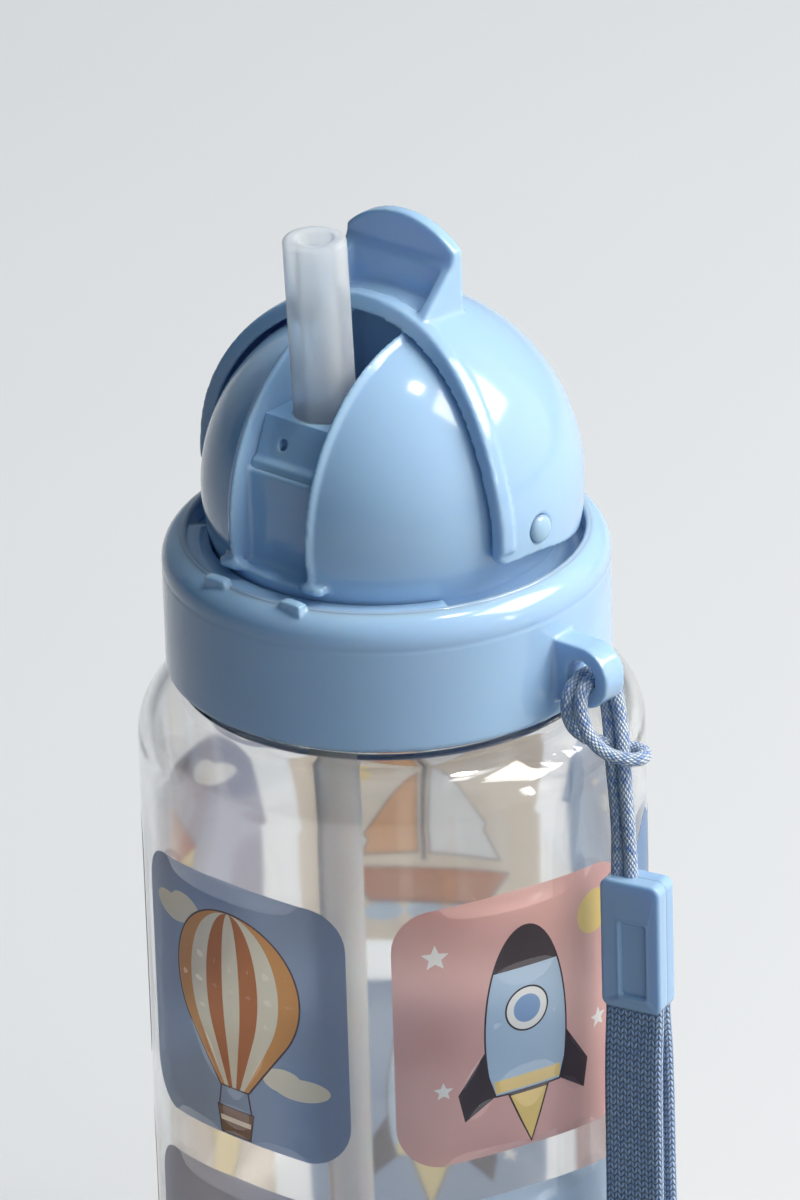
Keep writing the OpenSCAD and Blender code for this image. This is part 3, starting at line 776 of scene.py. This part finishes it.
def on_ball(centre, radius):
    """The nearest point of a ball, and the way out of it, for each vertex."""
    def nearest(spots):
        away = unit_rows(spots - np.array(centre))
        return np.array(centre) + away * radius, away
    return nearest


def on_wall(radius):
    """The same for a round upright wall about the bottle's axis."""
    def nearest(spots):
        away = unit_rows(spots * (1, 1, 0))
        return away * radius + spots * (0, 0, 1), away
    return nearest


def on_round_edge(ring_r, z, radius):
    """The same for an edge that is rounded all the way round the lid."""
    def nearest(spots):
        core = unit_rows(spots * (1, 1, 0)) * ring_r + np.array((0, 0, z))
        away = unit_rows(spots - core)
        return core + away * radius, away
    return nearest


def on_plane(axis, place):
    """The same for a flat face square to X, Y or Z."""
    def nearest(spots):
        away = np.zeros_like(spots)
        away[:, axis] = 1
        landed = spots.copy()
        landed[:, axis] = place
        return landed, away
    return nearest


def moulded(name, nodes, extras, voxel, rounds, surfaces):
    """The nodes' shape as one moulding: joined with its small raised parts, with all its
    edges softened, and its true round and flat faces kept true."""
    edit = bmesh.new()
    for mesh in [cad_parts[n].data for n in nodes] + list(extras):
        edit.from_mesh(mesh)
    rough = bpy.data.meshes.new(name + "_rough")
    edit.to_mesh(rough)
    edit.free()
    rough.materials.clear()
    carrier = bpy.data.objects.new(name + "_rough", rough)
    scene.collection.objects.link(carrier)
    cells = carrier.modifiers.new("cells", "REMESH")
    cells.mode, cells.voxel_size = "VOXEL", voxel
    soft = carrier.modifiers.new("soft", "SMOOTH")
    soft.factor, soft.iterations = 0.5, rounds
    bpy.context.view_layer.update()
    depsgraph = bpy.context.evaluated_depsgraph_get()
    mesh = bpy.data.meshes.new_from_object(carrier.evaluated_get(depsgraph))
    bpy.data.objects.remove(carrier)
    mesh.name = name
    spots = np.empty(len(mesh.vertices) * 3)
    facing = np.empty(len(mesh.vertices) * 3)
    mesh.vertices.foreach_get("co", spots)
    mesh.vertices.foreach_get("normal", facing)
    spots, facing = spots.reshape(-1, 3), facing.reshape(-1, 3)
    for nearest in surfaces:
        landed, away = nearest(spots)
        near = np.linalg.norm(landed - spots, axis=1) < 0.55 * voxel
        square = np.abs((away * facing).sum(axis=1)) > 0.975
        spots[near & square] = landed[near & square]
    mesh.vertices.foreach_set("co", spots.ravel())
    mesh.update()
    mesh.shade_smooth()
    return mesh


def nub(x, y, z, wide, deep, high):
    """A small block with soft edges, as the mould leaves on a rim."""
    edit = bmesh.new()
    bmesh.ops.create_cube(edit, size=1)
    bmesh.ops.scale(edit, vec=(wide * mm, deep * mm, high * mm), verts=edit.verts)
    bmesh.ops.bevel(edit, geom=edit.edges, offset=0.4 * mm, segments=4, affect="EDGES")
    bmesh.ops.translate(edit, vec=(x * mm, y * mm, z * mm), verts=edit.verts)
    mesh = bpy.data.meshes.new("nub")
    edit.to_mesh(mesh)
    edit.free()
    return mesh


def add_pieces(mesh, extras):
    """Small crisp parts that are moulded on a piece, joined to its mesh."""
    edit = bmesh.new()
    for part in [mesh] + list(extras):
        edit.from_mesh(part)
    edit.to_mesh(mesh)
    edit.free()
    mesh.shade_smooth()


def front_sill():
    """The low shelf between the collar's rim and the dome, over the front of the ring."""
    section = [(25.0, 143.3), (28.9, 143.3), (28.9, 145.7), (28.6, 145.95),
               (25.3, 145.95), (25.0, 145.7)]
    loops = []
    for degrees in range(-58, 59, 2):
        a = radians(degrees)
        loops.append([(r * mm * sin(a), -r * mm * cos(a), z * mm) for r, z in section])
    return stack_loops("front_sill", loops)


lid_blue = moulded_blue("lid_blue", (0.385, 0.595, 0.86, 1), (0.405, 0.615, 0.87, 1), 0.13)
collar_mesh = moulded(
    "screw_collar_moulding", ["screw_collar"],
    [nub(x, -28.5, 146.35, 3.2, 1.9, 2.3) for x in (-6.8, 6.8)], 0.3 * mm, 3,
    [on_wall(32 * mm), on_wall(30 * mm), on_wall(28.4 * mm), on_round_edge(28 * mm, 142.6 * mm, 4 * mm),
     on_plane(1, 2.1 * mm), on_plane(1, -2.1 * mm), on_plane(2, 126 * mm)])
collar_mesh.materials.append(lid_blue)
rim_bead = revolve("rim_bead", arc(28.85 * mm, 146.1 * mm, 0.5 * mm, 0, 345, 24), 256)
add_pieces(collar_mesh, [front_sill(), rim_bead])
put_in_scene("screw_collar_moulding", collar_mesh, "lid", "lid_blue", "screw_collar")

# Dome: the fixed ball of the lid, moulded with its floor and the sleeve that grips the
# spout. A channel is open down its front, with a thin raised lip along each side.
dome_r, channel_half = 26 * mm, 6.5 * mm


def channel_lip(side):
    """A thin strip along the channel's edge, from its foot over the top to its back."""
    lip_w, lip_rise, root = 0.95 * mm, 0.5 * mm, 0.8 * mm
    loops, steps = [], 120
    for k in range(steps + 1):
        loop = []
        climb = radians(-13.2 + 114 * k / steps)
        for x, r in ((channel_half, dome_r - root), (channel_half, dome_r + lip_rise),
                     (channel_half + lip_w, dome_r + lip_rise), (channel_half + lip_w, dome_r - root)):
            across = sqrt(r * r - x * x)
            loop.append((side * x, -across * cos(climb), pivot.z + across * sin(climb)))
        loops.append(loop)
    return stack_loops("channel_lip", loops)


def boss_tip(side):
    """The smooth pip on the end of a pivot boss."""
    edit = bmesh.new()
    bmesh.ops.create_icosphere(edit, subdivisions=4, radius=2.05 * mm)
    mesh = bpy.data.meshes.new("boss_tip")
    edit.to_mesh(mesh)
    edit.free()
    mesh.transform(Matrix.Translation((side * 28.35 * mm, 0, pivot.z))
                   @ Matrix.Diagonal((0.5, 1, 1, 1)))
    return mesh


dome_mesh = moulded(
    "dome_moulding", ["dome"],
    [channel_lip(-1), channel_lip(1)] + [nub(x, -25.0, 148.05, 3.4, 1.9, 1.5) for x in (-7.4, 7.4)],
    0.34 * mm, 3,
    [on_ball(pivot, dome_r), on_ball(pivot, dome_r + 0.5 * mm), on_plane(0, channel_half),
     on_plane(0, -channel_half), on_plane(1, -21.7 * mm), on_wall(24.6 * mm),
     on_plane(2, 143.1 * mm), on_plane(2, 161.8 * mm)])
add_pieces(dome_mesh, [boss_tip(-1), boss_tip(1)])
dome_mesh.materials.append(lid_blue)
put_in_scene("dome_moulding", dome_mesh, "lid", "lid_blue", "dome")

# Air valve: a small white silicone umbrella pressed into the lid's floor.
valve_profile = [(r * mm, z * mm) for r, z in (
    (0, 139.9), (4.6, 140.3), (5.0, 141.0), (4.6, 141.15), (1.5, 141.2), (1.45, 143.1),
    (2.3, 143.2), (2.1, 143.8), (1.2, 144.7), (0, 144.9))]
valve_mesh = revolve("umbrella_valve", valve_profile, 48, (0, 14 * mm), closed=False)
valve_mesh.materials.append(silicone)
put_in_scene("umbrella_valve", valve_mesh, "lid", "seal", "vent_valve")

# Spout seat: a plain block with a sloped face that closes the channel round the spout's
# foot. A small air hole goes into its face.
seat_mesh = moulded("spout_seat_block", ["spout_seat"], [], 0.2 * mm, 2,
                    [on_plane(0, 6.45 * mm), on_plane(0, -6.45 * mm), on_plane(2, 168.8 * mm)])
seat_mesh.materials.append(lid_blue)
put_in_scene("spout_seat_block", seat_mesh, "lid", "lid_blue", "spout_seat")

# Spout: one soft milky silicone tube. Its flange is clamped under the channel's floor, and
# it bends just above the seat, where the closing shutter folds it down.
spout_y, spout_outer, spout_inner, spout_top = -12.2 * mm, 4.5 * mm, 2.5 * mm, 195.6 * mm
lean_from, lean = 168 * mm, 0.043
spout_profile = [(spout_inner, 158.6 * mm), (6.3 * mm, 158.6 * mm), (6.3 * mm, 160.0 * mm),
                 (spout_outer + 0.3 * mm, 160.1 * mm), (spout_outer, 160.5 * mm)]
spout_profile += [(spout_outer, z * mm) for z in np.arange(161, 194.5, 0.6)]
spout_profile += arc(spout_outer - 0.8 * mm, spout_top - 0.8 * mm, 0.8 * mm, 0, 90, 7)
spout_profile += arc(spout_inner + 0.5 * mm, spout_top - 0.5 * mm, 0.5 * mm, 90, 180, 5)
spout_profile += [(spout_inner, z * mm) for z in np.arange(194.5, 159.5, -0.6)]
spout_mesh = revolve("silicone_spout", spout_profile, 72, (0, spout_y))
for v in spout_mesh.vertices:
    v.co.y -= max(0.0, v.co.z - lean_from) * lean
milky, tree, shader = new_material(
    "milky_silicone", Roughness=0.5, IOR=1.12, Subsurface_Weight=0.85,
    Subsurface_Radius=(1.0, 1.0, 1.1), Subsurface_Scale=8.0 * mm, Transmission_Weight=0.72)
mottle(tree, shader, grain(tree, 220, 4), (0.88, 0.94, 1.0, 1), (0.93, 0.97, 1.0, 1))
vary(tree, shader, "Roughness", grain(tree, 500, 3), 0.42, 0.55)
raise_surface(tree, shader, grain(tree, 1400, 3), 0.15, 0.04 * mm)
spout_mesh.materials.append(milky)
spout = put_in_scene("silicone_spout", spout_mesh, None, "spout_silicone")
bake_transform(spout)
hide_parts("spout_base", "spout_tip")

# Straw connector: a short barbed tube that joins the spout to the straw, with a flange.
connector_profile = [(r * mm, z * mm) for r, z in (
    (1.5, 147.9), (2.2, 147.9), (2.45, 149.6), (2.62, 151.0), (2.4, 151.3), (2.4, 156.4),
    (6.4, 156.5), (6.4, 158.3), (2.45, 158.4), (2.45, 163.2), (2.2, 163.7), (1.5, 163.7))]
connector_mesh = revolve("straw_connector_tube", connector_profile, 64, (0, spout_y))
frosted, tree, shader = new_material(
    "frosted_polypropylene", Roughness=0.35, IOR=1.2, Transmission_Weight=0.75,
    Subsurface_Weight=0.5, Subsurface_Scale=1.5 * mm)
mottle(tree, shader, grain(tree, 260, 3), (0.90, 0.91, 0.93, 1), (0.96, 0.96, 0.97, 1))
raise_surface(tree, shader, grain(tree, 900), 0.12, 0.03 * mm)
connector_mesh.materials.append(frosted)
put_in_scene("straw_connector_tube", connector_mesh, "lid", "straw_plastic", "straw_connector")

# Lower straw: an extruded tube, pushed over the connector's barb, cut slanted at its foot
# so that it never seals on the bottle's floor.
straw_r, straw_bore_r, straw_foot, straw_head = 3.25 * mm, 2.7 * mm, 8 * mm, 155.4 * mm
slant_top, slant = 20 * mm, 0.577 * 0.9
straw_profile = [(straw_r, z * mm) for z in np.arange(8, 155, 3)] + [(straw_r, straw_head)]
straw_profile += [(straw_bore_r, straw_head)]
straw_profile += [(straw_bore_r, z * mm) for z in np.arange(152, 7, -3)] + [(straw_bore_r, straw_foot)]
straw_mesh = revolve("lower_straw_tube", straw_profile, 48, (0, spout_y))
for v in straw_mesh.vertices:
    if v.co.z < slant_top:
        foot = straw_foot + slant * (straw_r + v.co.x)
        v.co.z = foot + (v.co.z - straw_foot) * (slant_top - foot) / (slant_top - straw_foot)
straw_mesh.materials.append(frosted)
put_in_scene("lower_straw_tube", straw_mesh, "lid", "straw_plastic", "lower_straw")

# Shutter: a thin moulded shell that turns on the dome's two bosses and slides over it. A
# raised band stiffens its front edge, and the hood on its top is for the thumb.
shutter_r, shutter_inner_r, front_y = 28.5 * mm, 26.8 * mm, -7.8 * mm
edge_arc_r, edge_arc_z = 56.4 * mm, 4 * mm
band_w, band_rise = 2.2 * mm, 0.45 * mm


def front_edge(z):
    """How far forward the shutter's front edge stands at a height over the pivot."""
    rise = max(0.0, z - edge_arc_z)
    return front_y + edge_arc_r - sqrt(edge_arc_r ** 2 - rise ** 2)


def edge_band():
    """The raised band along the front edge, from one cheek over the top to the other."""
    root = 0.7 * mm
    loops, steps, reach = [], 160, radians(93)
    for k in range(steps + 1):
        loop = []
        swing = -reach + 2 * reach * k / steps
        for back, r in ((0, shutter_r - root), (0, shutter_r + band_rise),
                        (band_w, shutter_r + band_rise), (band_w, shutter_r - root)):
            out = r
            for _ in range(8):
                y = front_edge(out * cos(swing)) + back
                out = sqrt(r * r - y * y)
            loop.append((out * sin(swing), y, pivot.z + out * cos(swing)))
        loops.append(loop)
    return stack_loops("edge_band", loops)


shutter_mesh = moulded("shutter_moulding", ["shutter"], [edge_band()], 0.34 * mm, 4,
                       [on_ball(pivot, shutter_r), on_ball(pivot, shutter_inner_r),
                        on_ball(pivot, shutter_r + band_rise)])
shutter_mesh.materials.append(lid_blue)
put_in_scene("shutter_moulding", shutter_mesh, "shutter", "lid_blue", "shutter")
